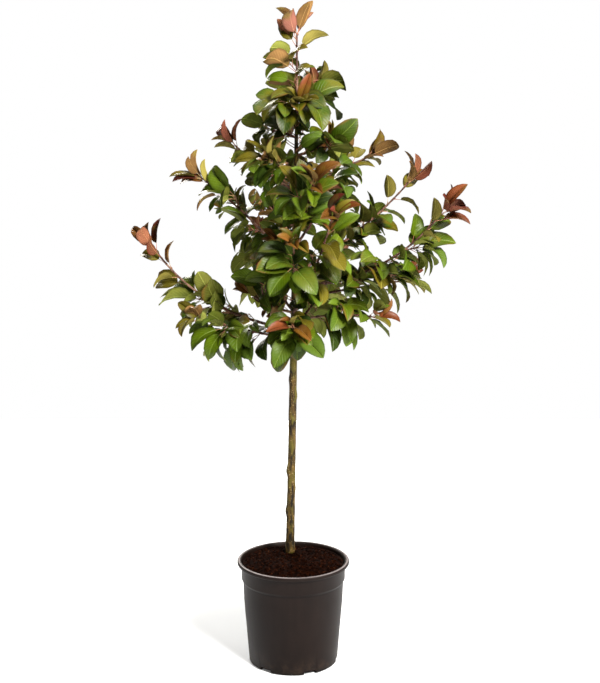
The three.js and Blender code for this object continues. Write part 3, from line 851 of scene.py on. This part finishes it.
def leafPiece(name, leaves):
    batch = batchOf(leaves)
    # rows hold the corners, and marks say how far each is across and along, and from the midrib to the rim
    rows = [frameAt(batch, np.float64(blade["stalk"]))[0]]
    marks = [(0.5, 0, 0.3)]
    for t, share in zip(blade["stations"], blade["widths"]):
        rows += bladeRow(batch, t, share)
        marks += [(0.5 + share * way / 4, t, abs(way) / 2) for way in (-2, -1, 0, 1, 2, 0)]
    rows.append(frameAt(batch, np.float64(1))[0])
    marks.append((0.5, 1, 1))
    corners = np.stack(rows, axis=1)
    count, each = corners.shape[:2]
    # four sides of the ring face up and two down, which are split along their other diagonals
    faces = ringFaces(len(blade["stations"]), 6)
    above = len(faces) * 4 // 6
    faces[above:] = [[*face[1:], face[0]] for face in faces[above:]]
    piece = joinedMesh(name, [(leaf, faces) for leaf in corners], degrees=75)
    piece.data.polygons.foreach_set("material_index", ([0] * above + [1] * (len(faces) - above)) * count)
    marks = np.tile(marks, (count, 1))
    mapLeaves(piece.data, marks[:, :2], tone=np.repeat(batch["tone"], each), rim=marks[:, 2].copy())
    return piece


def mapLeaves(mesh, flatMap, **numbers):
    # each leaf's own UV map, and the numbers that its colour varies by
    loops = np.zeros(len(mesh.loops), int)
    mesh.loops.foreach_get("vertex_index", loops)
    mesh.uv_layers.new(name="leafMap").data.foreach_set("uv", flatMap[loops].ravel())
    for name, values in numbers.items():
        mesh.attributes.new(name, "FLOAT", "POINT").data.foreach_set("value", values)


def tube(points, radii, sides, reference=None):
    # one round limb along points, closed at both ends
    points = np.array(points)
    axis = unitRows(np.gradient(points, axis=0))
    across = around(axis[0], 0) if reference is None else reference
    angles = 2 * pi * np.arange(sides) / sides
    rings = []
    for point, ahead, radius in zip(points, axis, radii):
        across = unit(across - ahead * (across @ ahead))
        over = cross(ahead, across)
        rings.append(point + radius * (np.outer(np.cos(angles), across) + np.outer(np.sin(angles), over)))
    return np.vstack([points[:1], *rings, points[-1:]]), ringFaces(len(points), sides)


# how far each shoot's tip has greened already: at 0 its young leaves are still red
greened = {
    "left_low": 0, "left_middle": 0.1, "left_high": 0, "right_middle": 0, "right_high": 0.05,
    "right_top": 0.05, "front_low": 0.1, "back_left": 0.1, "back_low": 0.1, "leader": -0.25, "others": 0.36,
}
# leaf colours: how each looks from above and from below
leafColors = {
    "deep": ((36, 54, 2), (88, 100, 30)),
    "mid": ((60, 81, 2), (109, 117, 42)),
    "fresh": ((76, 97, 5), (126, 131, 58)),
    "olive": ((94, 86, 14), (129, 119, 54)),
    "bronze": ((106, 66, 20), (132, 98, 56)),
    "copper": ((104, 52, 22), (136, 84, 60)),
    "rose": ((107, 46, 36), (138, 88, 74)),
    "wine": ((74, 24, 14), (114, 62, 46)),
}
# the kinds of leaf at each age, with their shares added up; old leaves near the trunk get darker kinds, a
# painted shade
leafKinds = {
    "red": (("copper", 0.35), ("rose", 0.5), ("wine", 0.8), ("bronze", 1)),
    "turning": (("bronze", 0.45), ("copper", 0.55), ("olive", 1)),
    "greening": (("olive", 0.45), ("fresh", 0.82), ("bronze", 1)),
    "shaded": (("deep", 0.55), ("mid", 1)),
    "open": (("mid", 0.52), ("fresh", 0.8), ("deep", 0.94), ("olive", 1)),
}
paintedShadeWithin = 75
# what tinges a leaf's margin, and where: bronze on a green one, wine red on a young one
bladeEdges = {"young": ((94, 34, 22), 0.9, 1.15), "old": ((126, 84, 40), 1.1, 1.4)}
# the two sides of a leaf, above and below: the veins are sunk above and stand out below
leafSides = (
    {"sheen": 0.2, "roughness": (0.34, 0.5), "veins": 0.55, "relief": -1},
    {"sheen": 0.1, "roughness": (0.62, 0.8), "veins": 0.75, "relief": 1},
)


def leafKind(leaf, shift, chance):
    tint = leaf["young"] + shift - greened.get(leaf["mass"].removesuffix("_leaves"), greened["others"])
    # old leaves near the trunk take the darker kinds as painted shade
    old = "shaded" if leaf["fromTrunk"] < paintedShadeWithin else "open"
    age = "red" if tint > 0.8 else "turning" if tint > 0.55 else "greening" if tint > 0.24 else old
    return next(kind for kind, share in leafKinds[age] if chance < share)


def leafFinish(name, color, side, olive, edge):
    finish = Finish(name, Specular_IOR_Level=side["sheen"])
    tone = finish.node("ShaderNodeAttribute", {"attribute_name": "tone"}, output="Fac")
    rim = finish.node("ShaderNodeAttribute", {"attribute_name": "rim"}, output="Fac")
    flatX, flatY, _ = finish.split(finish.node("ShaderNodeUVMap", {"uv_map": "leafMap"}))
    _, _, height = finish.split(finish.place)
    fromRib = abs(flatX - 0.5)
    # side veins leave the midrib at a slant
    slant = ((flatY - fromRib * 0.9) * 8).fract()
    vein = abs(slant - 0.5).fade(0.12, 0) * fromRib.fade(0.5, 0.3)
    lines = vein * 0.45 + fromRib.fade(0.035, 0.012)
    mottle = finish.noise(40, 3, 0.55)
    # patches of a leaf turn olive, more of them high in the crown
    turned = finish.noise(12, 4, 0.6).fade(0.5, 0.62, 0, 0.65) * height.fade(0.8, 1.15, 0.2, 1)
    # the margin and the tip are tinged, more on some leaves than on others
    edgeColor, begins, ends = edge
    tinge = (rim * 0.5 + flatY * 0.3 + finish.noise(14)).fade(begins, ends, 0, 0.6) * tone.fade(0.5, 0.25)
    # the darkest tone is for the painted shade along the margin
    dark, rimShade = [tuple(c * share for c in color) for share in (0.5, 0.25)]
    pale = tuple(min(1, c * 1.25 + 0.015) for c in color)
    veinColor = tuple(c * 1.6 + more for c, more in zip(color, (0.06, 0.06, 0.025)))
    finish.set("Base Color", finish.layers(
        dark,
        ((mottle * 0.45 + tone * 0.55).fade(0.2, 0.6), color),
        (tone.fade(0.55, 1, 0, 0.6), pale),
        (turned, paint(*olive)),
        # darker by the stalk, painted shade along the margin, and paler on the veins
        (flatY.fade(0.4, 0, 0, 0.55), dark),
        (rim.fade(0.76, 1, 0, 0.7), rimShade),
        (lines * side["veins"], veinColor),
        (tinge, paint(*edgeColor)),
    ))
    finish.set("Roughness", mottle.fade(0, 1, *side["roughness"]))
    finish.bump(lines * side["relief"] + mottle * 0.6, 0.001, 0.9)
    return finish


def makeLeaves(leaves):
    for kind, colors in leafColors.items():
        own = [leaf for leaf in leaves if leaf["kind"] == kind]
        edge = bladeEdges["young" if kind in ("copper", "rose", "wine") else "old"]
        finishes = []
        for suffix, color, side, olive in zip(("", "_below"), colors, leafSides, leafColors["olive"]):
            finishes.append(leafFinish(f"leaf_{kind}{suffix}", paint(*color), side, olive, edge))
        piece = leafPiece(f"leaves_{kind}", own)
        settle(piece, "foliage", finishes, *sorted({leaf["mass"] for leaf in own}))
        print(f"  {len(own)} leaves")


# wood: bark on the trunk and the boughs, then the leafy stems, spurs, sprigs and stalks

wood = {
    "trunkSides": 20, "trunkRing": 13,  # millimetres between rings
    "sunk": 4,  # how deep the bark goes on into the soil
    "trunkRelief": (0.45, 9), "boughRelief": (0.3, 7),  # height and size of the bark's unevenness
    "collar": 2.2, "collarLength": 5,  # how far a bough swells where it leaves the bark
    "stemRing": 4, "stemSides": 7, "stemEnd": (0.95, 0.8, 0.45),  # of its radius, over the last rings
    "knuckle": 0.32, "knuckleLength": 3.5,  # a stem's swelling under each leaf, of its radius
    "twigRings": ((0, 1.25), (0.3, 0.95), (0.6, 0.9), (0.85, 1.15), (1, 0.8)),  # along it, and of its radius
    "twigBend": 0.035,
    "bud": (1.5, 5.5),  # radius and length
    "budAhead": 2, "budOut": 0.8, "budLean": 0.55,  # from its leaf's foot, and out of the stem
    "budRings": ((0, 0.7), (0.3, 1), (0.65, 0.65), (1, 0.1)),
}
# old bud scars and pruning knobs: height, heading, size and how far each stands out
knobs = [
    (292, 262, 6, 1.6), (317, 285, 5, 1.2), (354, 186, 8, 3.2), (409, 20, 7, 1.6), (452, 182, 8, 3.4),
    (498, 300, 6, 1.4), (540, 120, 7, 2.0), (587, 240, 6, 1.6), (634, 340, 7, 1.8), (672, 170, 7, 1.8),
    (706, 265, 9, 2.6), (735, 75, 9, 2.4),
]
# each bark's dark, usual and greener colours and its lenticels', and how strongly those show
barks = {
    "bark": (((20, 14, 6), (90, 69, 30), (88, 80, 27), (196, 176, 132)), 0.5),
    "shoot_bark": (((54, 36, 32), (112, 78, 66), (128, 98, 80), (190, 162, 142)), 0.7),
    "young_bark": (((96, 52, 44), (138, 84, 66), (120, 96, 60), (186, 150, 128)), 0.4),
    "stalk": (((146, 88, 70), (184, 134, 108), (156, 144, 92), (204, 174, 146)), 0.2),
}


def barkFinish(name):
    finish = Finish(name, Specular_IOR_Level=0.18)
    colors, lenticels = barks[name]
    dark, body, green, pale = [paint(*color) for color in colors]
    streaks = finish.noise((150, 150, 42), 6, 0.66)
    patches = finish.noise((58, 58, 22), 4, 0.6)
    marks = finish.spots((150, 150, 300)).fade(0.3, 0.16) * streaks.fade(0.42, 0.62) * lenticels
    finish.set("Base Color", finish.layers(
        dark,
        (streaks.fade(0.42, 0.6), body),
        (patches.fade(0.5, 0.6, 0, 0.7), green),
        (patches.fade(0.46, 0.36, 0, 0.8), dark),
        (marks, pale),
    ))
    finish.set("Roughness", streaks.fade(0, 1, 0.52, 0.78))
    finish.bump(streaks * 0.8 + marks * 0.9 + finish.noise(420, 3) * 0.4, 0.0016, 1)
    return finish


def relief(mesh, height, size):
    # the bark's own unevenness, pushed out along its normals
    places = readVertices(mesh, "co")
    push = [noise.fractal(Vector(p / (size * mm) * (1, 1, 0.35)), 0.9, 2.1, 4) for p in places]
    moveVertices(mesh, places + readVertices(mesh, "normal") * (np.array(push) * (height * mm))[:, None])


def makeTrunk():
    foot, top = trunk["offset"][2] - wood["sunk"], trunk["top"]
    count = round((top - foot) / wood["trunkRing"])
    rings = []
    for i in range(count + 1):
        z = lerp(foot, top, i / count)
        rings.append((*(trunkAxis(z) * mm).tolist(), trunkRadius(max(z, trunk["offset"][2])) * mm))
    piece = drawnUp("bark_trunk", rings, wood["trunkSides"])
    applied(piece, "SUBSURF", levels=1, render_levels=1)
    places = readVertices(piece.data, "co")
    for height, heading, size, out in knobs:
        direction = polar(heading, 0)
        centre = (trunkAxis(height) + direction * trunkRadius(height)) * mm
        away = np.linalg.norm((places - centre) * (1, 1, 0.75), axis=1)
        places += direction * (out * mm * np.exp(-((away / (size * mm)) ** 2)))[:, None]
    moveVertices(piece.data, places)
    relief(piece.data, *wood["trunkRelief"])
    smooth(piece, 60)
    settle(piece, "bark", [barkFinish("bark")], "trunk")


def bough(shoot):
    # a path with a radius at each point, made round and then a mesh
    line = smoothLine(stretch(partOf(shoot, 0, shoot["bare"] + 1)), 5)
    choose()
    bpy.ops.curve.primitive_nurbs_path_add()
    curve = bpy.context.active_object.data
    curve.splines.clear()
    spline = curve.splines.new("POLY")
    spline.points.add(len(line) - 1)
    distance = 0
    for i, (point, place) in enumerate(zip(spline.points, line)):
        distance += float(np.linalg.norm(place - line[i - 1])) if i else 0
        fromBark = max(distance - trunkRadius(shoot["height"]), 0)
        point.co = (*(place * mm), 1)
        collar = wood["collar"] * exp(-fromBark / wood["collarLength"])
        point.radius = shootRadius(shoot, distance) + collar
    curve.bevel_depth = mm
    curve.bevel_resolution = 3
    curve.use_fill_caps = True
    bpy.ops.object.convert(target="MESH")
    return bpy.context.active_object


def smoothLine(points, spacing):
    # a Catmull-Rom line through the points
    points = [2 * points[0] - points[1], *points, 2 * points[-1] - points[-2]]
    line = []
    for a, b, c, d in zip(points, points[1:], points[2:], points[3:]):
        steps = max(1, round(float(np.linalg.norm(c - b)) / spacing))
        for t in (k / steps for k in range(steps)):
            squared, cubed = (2 * a - 5 * b + 4 * c - d) * t**2, (3 * b - a - 3 * c + d) * t**3
            line.append(0.5 * (2 * b + (c - a) * t + squared + cubed))
    return [*line, points[-2]]


def makeBoughs(masses, finish):
    choose(*[bough(mass["shoot"]) for mass in masses if "bare" in mass["shoot"]])
    bpy.ops.object.join()
    piece = bpy.context.active_object
    piece.name = "bark_boughs"
    bpy.ops.object.mode_set(mode="EDIT")
    closeUp(mergeWithin=0.00002)
    relief(piece.data, *wood["boughRelief"])
    smooth(piece, 60)
    settle(piece, "shoot_bark", [finish], *(f"{name}_bough" for name in shoots))


def stemTube(mass):
    stem = mass["twigs"][0]
    line = smoothLine(stretch(stem), wood["stemRing"])
    distances = np.linspace(stem["from"], stem["to"], len(line))
    radii = np.array([stem["radius"](s) for s in distances])
    for node, _ in nodesOf(mass):
        radii *= 1 + wood["knuckle"] * np.exp(-(((distances - node) / wood["knuckleLength"]) ** 2))
    radii[-3:] *= wood["stemEnd"]
    return tube(line, radii, wood["stemSides"])


def twigTube(branch):
    start, end = branch["line"]
    bend = around(unit(end - start), 40) * branch["to"] * wood["twigBend"]
    line = [lerp(start, end, t) + bend * sin(pi * t) for t, _ in wood["twigRings"]]
    radii = np.array([share for _, share in wood["twigRings"]]) * branch["radius"](0)
    return tube(line, radii, 6)


def budTube(point, axis):
    radius, length = wood["bud"]
    line = [point + axis * (length * t) for t, _ in wood["budRings"]]
    return tube(line, np.array([share for _, share in wood["budRings"]]) * radius, 5)


def makeTwigs(masses, finish, youngFinish):
    woody = []
    budded = []
    for mass in masses:
        stem = mass["twigs"][0]
        woody += [stemTube(mass), *(twigTube(spur) for spur in mass["twigs"][1:])]
        budded += [twigTube(sprig) for sprig in mass["sprigs"]]
        for distance, turn in nodesOf(mass):
            point, axis = along(stem, distance + wood["budAhead"])
            side = around(axis, turn)
            foot = point + side * (stem["radius"](distance) * wood["budOut"])
            budded.append(budTube(foot, unit(axis + side * wood["budLean"])))
        point, axis = along(stem, stem["to"])
        budded.append(budTube(point - axis * wood["budAhead"], axis))
    names = [mass["name"] for mass in masses]
    for name, tubes, ownFinish in (("twigs", woody, finish), ("sprigs_and_buds", budded, youngFinish)):
        settle(joinedMesh(name, tubes, degrees=60), "shoot_bark", [ownFinish], *names)


def makeStalks(leaves, finish):
    batch = batchOf(leaves)
    shares, radii = np.array(blade["stalkRings"]).T
    lines = np.stack([midline(batch, x) for x in shares], axis=1)
    tubes = [tube(line, radii * blade["stalkRadius"], 4, face) for line, face in zip(lines, batch["face"])]
    piece = joinedMesh("leaf_stalks", tubes, degrees=60)
    settle(piece, "foliage", [finish], *sorted({leaf["mass"] for leaf in leaves}))


# the pot and its soil

pot = {
    "height": 0.245, "rim": 0.1325, "lip": 0.0085, "lipWidth": 0.0075, "collar": 0.1235, "collarFoot": 0.201,
    "band": 0.1185, "bandFoot": 0.158, "base": 0.1055, "step": 0.006, "wall": 0.0025, "floor": 0.004,
    "sides": 96, "edge": 0.0007,
    "notches": 6, "firstNotch": 22,  # degrees
    "notch": (0.030, 0.022, 0.017), "notchDepth": 0.012, "notchBevel": 0.003,
    "crest": (0.1288, 0.2432, 0.2448),  # the lip's radius and the heights between which its painted highlight lies
}
soil = {
    "edgeHeight": 0.237, "moundHeight": 0.2492, "moundRadius": 0.064, "sides": 90, "rings": 26,
    "clear": 0.0008,  # from the pot's wall
    "relief": 0.0042, "lumpSize": 0.018, "fromRim": 0.006, "fromTrunk": 0.0135,
    "crumbs": (1500, (0.0011, 0.0036), (1, 1, 0.75)),  # how many, their sizes and their shape
    "chips": (130, (0.001, 0.0019), (3.4, 1, 0.6)),
}


def potFinish():
    finish = Finish("pot_plastic", Specular_IOR_Level=0.12)
    x, y, height = finish.split(finish.place)
    radius = (x * x + y * y) ** 0.5
    cloud = finish.noise(9, 4, 0.55)
    streaks = finish.noise((60, 60, 3), 4, 0.6)
    scuffs = finish.noise((45, 45, 160), 6, 0.7).fade(0.66, 0.78)
    dust = height.fade(0.05, 0) * finish.noise(38, 5, 0.65).fade(0.45, 0.7)
    crest, highlightFrom, highlightTo = pot["crest"]
    # a painted highlight along the crest of the lip
    lipHighlight = height.fade(highlightFrom, highlightTo) * abs(radius - crest).fade(0.0026, 0.0008, 0.15, 1)
    # painted shade under the collar's step
    stepShade = abs(height - (pot["collarFoot"] - pot["step"])).fade(0.005, 0.0005)
    # painted shade darkening the foot
    footShade = (height + cloud * 0.006).fade(0.014, 0.004)
    # darker on the inner wall above the soil
    innerWallDark = radius.fade(0.1224, 0.1214) * height.fade(0.222, 0.226)
    finish.set("Base Color", finish.layers(
        paint(16, 9, 7),
        ((cloud * 0.6 + streaks * 0.4).fade(0.3, 0.7), paint(26, 17, 14)),
        # soil dust low down, scuffs, and a painted highlight along the lip's edge
        (dust * 0.24, paint(92, 72, 56)),
        (scuffs * 0.25, paint(84, 70, 64)),
        (lipHighlight * cloud.fade(0.35, 0.65, 0.45, 0.85), paint(142, 133, 136)),
        # painted shade under the collar's step and at the foot, and darker on the inner wall above the soil
        (stepShade * 0.6, paint(10, 5, 4)),
        (footShade * 0.8, paint(10, 6, 4)),
        (innerWallDark * 0.9, paint(18, 8, 5)),
    ))
    finish.set("Roughness", cloud.fade(0, 1, 0.44, 0.56) + scuffs * 0.15)
    finish.bump(finish.noise(900) * 0.5 + streaks * 0.5, 0.00025, 0.6)
    return finish


def potOutline():
    # radius and height, from under the foot up the outside, over the lip and down the inside
    top, rim, collar, band, base = (pot[key] for key in ("height", "rim", "collar", "band", "base"))
    under, stepFoot, wall = top - pot["lip"], pot["collarFoot"] - pot["step"], pot["wall"]

    def taper(z):
        return lerp(base, band - 0.0012, z / pot["bandFoot"])

    return [
        (base - 0.012, 0.0015), (base - 0.011, 0), (base - 0.0015, 0), (base, 0.0015), (taper(0.07), 0.07),
        (taper(pot["bandFoot"]), pot["bandFoot"] - 0.008), (band - 0.0006, pot["bandFoot"] + 0.007),
        (band + 0.0006, stepFoot), (collar - 0.0008, pot["collarFoot"]), (collar, under - 0.001),
        (rim - 0.0012, under), (rim, under + 0.0015), (rim, top - 0.0022), (rim - 0.0022, top),
        (rim - pot["lipWidth"], top), (collar - wall + 0.001, top - 0.0035),
        (collar - wall - 0.0004, under - 0.004), (collar - wall - 0.0008, pot["collarFoot"]),
        (band - wall, stepFoot), (taper(pot["bandFoot"]) - wall, pot["bandFoot"]),
        (base - wall, pot["floor"]),
    ]


def makePot():
    piece = drawnUp("pot_shell", [(0, 0, z, radius) for radius, z in potOutline()], pot["sides"])
    width, reach, height = pot["notch"]
    away = pot["base"] - pot["notchDepth"] + reach / 2
    for i in range(pot["notches"]):
        heading = radians(pot["firstNotch"] + i * 360 / pot["notches"] - 90)
        at = (away * cos(heading), away * sin(heading), 0)
        size = (reach, width, height)
        choose()
        bpy.ops.mesh.primitive_cube_add(size=1, location=at, rotation=(0, 0, heading), scale=size)
        cutter = bpy.context.active_object
        bpy.ops.object.mode_set(mode="EDIT")
        bpy.ops.mesh.bevel(offset=pot["notchBevel"], segments=3, affect="EDGES")
        bpy.ops.object.mode_set(mode="OBJECT")
        applied(piece, "BOOLEAN", operation="DIFFERENCE", object=cutter, solver="EXACT")
        bpy.data.objects.remove(cutter)
    corner = radians(28)
    applied(piece, "BEVEL", limit_method="ANGLE", angle_limit=corner, width=pot["edge"], segments=2)
    smooth(piece, 35)
    settle(piece, "pot", [potFinish()], "pot")


def soilHeight(x, y):
    # the mound, with its lumps and hollows
    edge = pot["collar"] - pot["wall"] - 0.001
    t = clamp((hypot(x, y) - soil["moundRadius"]) / (edge - soil["moundRadius"]), 0, 1)
    mound = lerp(soil["moundHeight"], soil["edgeHeight"], t * t * (3 - 2 * t))
    lump = noise.fractal(Vector((x, y, 0.3)) / soil["lumpSize"], 0.8, 2.2, 5)
    return mound + soil["relief"] * 0.5 * lump


def soilFinish(name, dark, body, pale):
    finish = Finish(name, Specular_IOR_Level=0.02)
    grain = finish.noise(260, 5, 0.7)
    patches = finish.noise(95, 3, 0.6)
    finish.set("Base Color", finish.layers(
        paint(*dark),
        (grain.fade(0.35, 0.65), paint(*body)),
        (patches.fade(0.52, 0.66, 0, 0.6), paint(*pale)),
        (patches.fade(0.5, 0.38, 0, 0.85), paint(*dark)),
    ))
    finish.set("Roughness", grain.fade(0, 1, 0.82, 1))
    finish.bump(grain, 0.0015, 1)
    return finish


def makeSoil():
    clear = pot["wall"] + soil["clear"]
    edge, top = pot["collar"] - clear - 0.0006, soil["edgeHeight"]
    rings = [
        (0, 0, pot["floor"] + 0.0004, pot["base"] - clear - 0.0006),
        (0, 0, pot["bandFoot"], pot["band"] - clear - 0.0014),
        (0, 0, pot["collarFoot"] - pot["step"], pot["band"] - clear),
        (0, 0, top, edge),
    ]
    rings += [(0, 0, top + 0.0001 * i, edge * (1 - i / soil["rings"])) for i in range(1, soil["rings"])]
    piece = drawnUp("soil_bed", rings, soil["sides"])
    for vertex in piece.data.vertices:
        if vertex.co.z > top - 0.0001:
            vertex.co.z = soilHeight(vertex.co.x, vertex.co.y)
    smooth(piece, 50)
    peat = soilFinish("peat", (7, 2, 1), (25, 7, 2), (38, 14, 4))
    chip = soilFinish("bark_chips", (32, 13, 6), (54, 25, 10), (80, 47, 25))
    settle(piece, "soil", [peat], "soil")
    rng = np.random.default_rng(12)
    for kind, finish in (("crumbs", peat), ("chips", chip)):
        settle(joinedMesh(f"soil_{kind}", grains(rng, *soil[kind]), scale=1), "soil", [finish])


def grains(rng, count, sizes, shape):
    # many-sided grains scattered over the soil, half sunk in it
    choose()
    bpy.ops.mesh.primitive_ico_sphere_add(subdivisions=1, radius=1)
    pattern = bpy.context.active_object
    ball = np.array([vertex.co for vertex in pattern.data.vertices])
    sides = [list(face.vertices) for face in pattern.data.polygons]
    bpy.data.objects.remove(pattern)
    parts = []
    stem = trunkAxis(trunk["offset"][2]) * mm
    reach = pot["collar"] - pot["wall"] - soil["fromRim"]
    while len(parts) < count:
        radius, heading = reach * sqrt(rng.uniform()), rng.uniform(0, 2 * pi)
        x, y = radius * cos(heading), radius * sin(heading)
        if hypot(x - stem[0], y - stem[1]) < soil["fromTrunk"]:
            continue
        size = lerp(*sizes, rng.uniform() ** 2.2)
        grain = ball * rng.uniform(0.7, 1.25, ball.shape) * shape * size
        turn = Euler(rng.uniform(-0.5, 0.5, 2).tolist() + [rng.uniform(0, 6.3)]).to_matrix()
        grain = grain @ np.array(turn).T
        parts.append((grain + (x, y, soilHeight(x, y) + size * 0.25), sides))
    return parts


# the whole plant

makeStage()
print("stage ready")
masses, woods = growSolids()
for mass in masses:
    growFiner(mass, woods)
growTrunkSpurs(masses, woods)
print("grown:", sum(len(mass["leaves"]) for mass in masses), "leaves")
leaves = dealLeaves(masses)
shootFinish = barkFinish("shoot_bark")
makePot()
makeSoil()
makeTrunk()
makeBoughs(masses, shootFinish)
makeTwigs(masses, shootFinish, barkFinish("young_bark"))
makeStalks(leaves, barkFinish("stalk"))
makeLeaves(leaves)

bpy.ops.object.select_all(action="DESELECT")
bpy.context.view_layer.update()
